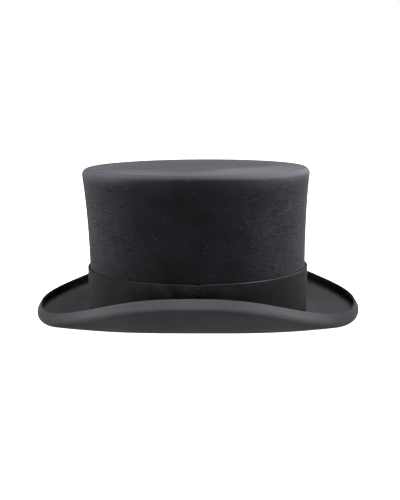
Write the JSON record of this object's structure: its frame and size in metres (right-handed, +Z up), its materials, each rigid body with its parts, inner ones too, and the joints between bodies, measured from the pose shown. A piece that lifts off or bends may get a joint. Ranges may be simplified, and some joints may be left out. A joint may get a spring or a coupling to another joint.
{
  "type": "top hat",
  "caption": "Stiff felt top hat with a waisted crown, a rolled brim dipped front and back, a cloth band, a satin lining and a leather sweatband.",
  "frame": {"origin": "on the surface that the hat stands on, below the middle of the crown", "axes": "+Z up out of the tip; X along the head, with the front of the hat at -X; Y across the head, with the wearer's left at -Y"},
  "size_m": [0.3048, 0.2138, 0.1401],
  "materials": {
    "felt": "matte charcoal felt with a fine brushed nap",
    "band_cloth": "matte near-black woven cloth",
    "buckram": "stiffened open-weave cloth",
    "satin": "ivory satin",
    "sweatband_leather": "smooth tan leather, semi-matte",
    "reed": "pale translucent reed",
    "tape": "dark brown woven tape",
    "bow_ribbon": "dark brown ribbed ribbon",
    "paper": "plain uncoated paper"
  },
  "bodies": {
    "root": {"crown_felt": "felt", "brim_felt": "felt", "hat_band": "band_cloth", "crown_stiffener": "buckram", "tip_stiffener": "buckram", "lining_side": "satin", "lining_tip": "satin", "lining_piping": "satin", "sweatband": "sweatband_leather", "sweatband_reed": "reed", "sweatband_tape": "tape", "sweatband_bow": "bow_ribbon", "size_ticket": "paper"}
  },
  "joints": []
}
